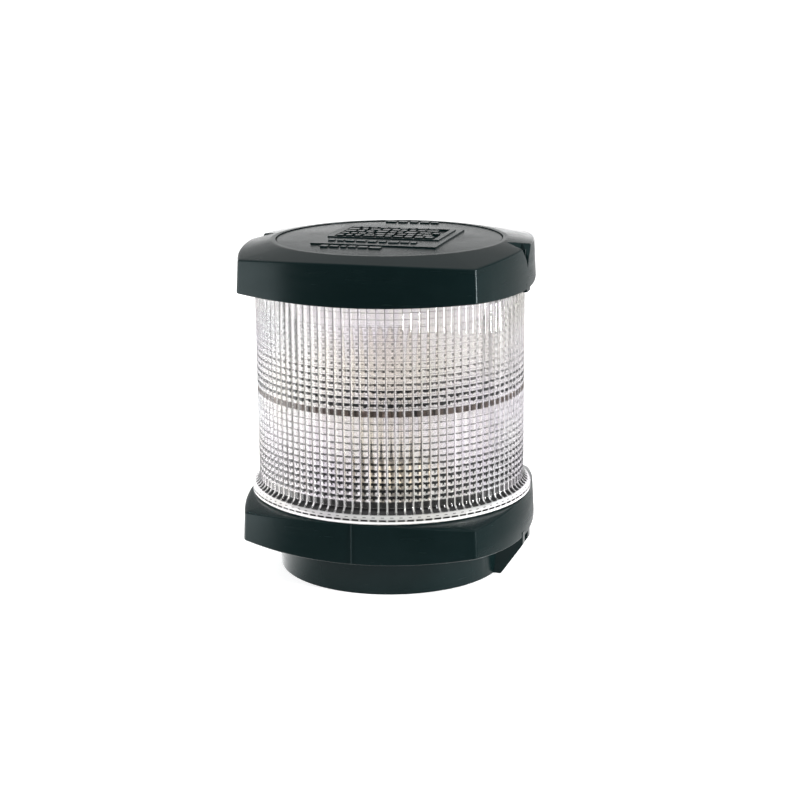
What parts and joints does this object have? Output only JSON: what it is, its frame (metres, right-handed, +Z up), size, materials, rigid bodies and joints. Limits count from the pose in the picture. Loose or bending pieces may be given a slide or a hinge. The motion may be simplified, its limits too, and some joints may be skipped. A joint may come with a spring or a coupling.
{
  "type": "navigation light",
  "caption": "All-round marine navigation light: black bowed-square cap and base, clear fluted round lens, bayonet bulb in a sprung holder, round mounting foot.",
  "frame": {"origin": "middle of the round mounting foot, on the surface that the light stands on", "axes": "+Z up along the lens axis, +X towards the side cable entry, -Y towards the side with the upright front line"},
  "size_m": [0.0888, 0.0891, 0.1053],
  "materials": {
    "housing_plastic": "fine satin moulding",
    "inner_plastic": "matte black",
    "clear_lens": "clear, fluted outside and ringed inside",
    "bulb_glass": "clear",
    "rubber": "matte",
    "brass": "satin",
    "nickel": "plated, satin",
    "steel": "stainless",
    "aluminium": "bright sheet",
    "phenolic": "moulded brown",
    "terminal_plastic": "off-white moulding",
    "red_insulation": "soft plastic",
    "black_insulation": "soft plastic"
  },
  "bodies": {
    "base": {"base_housing": "housing_plastic", "base_gasket": "rubber", "lens_seal": "rubber", "deck_plate": "inner_plastic", "deck_screw_left": "steel", "deck_screw_right": "steel", "cable_grommet": "rubber", "side_entry_plug": "rubber", "terminal_block": "terminal_plastic", "terminal_clamp_left": "brass", "terminal_clamp_right": "brass", "terminal_screw_left": "steel", "terminal_screw_right": "steel", "holder_body": "phenolic", "holder_screw_left": "steel", "holder_screw_right": "steel", "socket_shell": "nickel", "contact_spring": "steel", "lead_left": "black_insulation", "lead_right": "red_insulation"},
    "carrier": {"contact_carrier": "phenolic", "contact_stud_left": "brass", "contact_stud_right": "brass"},
    "bulb": {"bulb_base": "brass", "bulb_glass": "bulb_glass", "bulb_insulator": "black_insulation", "bulb_contact_left": "steel", "bulb_contact_right": "steel", "bulb_stem": "bulb_glass", "filament_wire_left": "nickel", "filament_wire_right": "nickel", "filament": "steel"},
    "lens": {"lens": "clear_lens"},
    "cap": {"top_cap": "housing_plastic", "cap_top_plate": "housing_plastic", "cap_seal": "rubber", "heat_shield": "aluminium", "shield_screw_left": "steel", "shield_screw_right": "steel"}
  },
  "joints": [
    {"name": "lens_lift", "type": "slide", "parent": "base", "child": "lens", "axis": [0, 0, 1], "range_m": [0, 0.06]},
    {"name": "cap_lift", "type": "slide", "parent": "lens", "child": "cap", "axis": [0, 0, 1], "range_m": [0, 0.03]},
    {"name": "contact_push", "type": "slide", "parent": "base", "child": "carrier", "axis": [0, 0, 1], "range_m": [-0.0022, 0], "stiffness_N_per_m": 2500, "springref_m": 0.004, "deforming": ["contact_spring"]},
    {"name": "bulb_twist", "type": "hinge", "parent": "carrier", "child": "bulb", "pos_m": [0, 0, 0.0265], "axis": [0, 0, 1], "range_deg": [0, 20]}
  ]
}
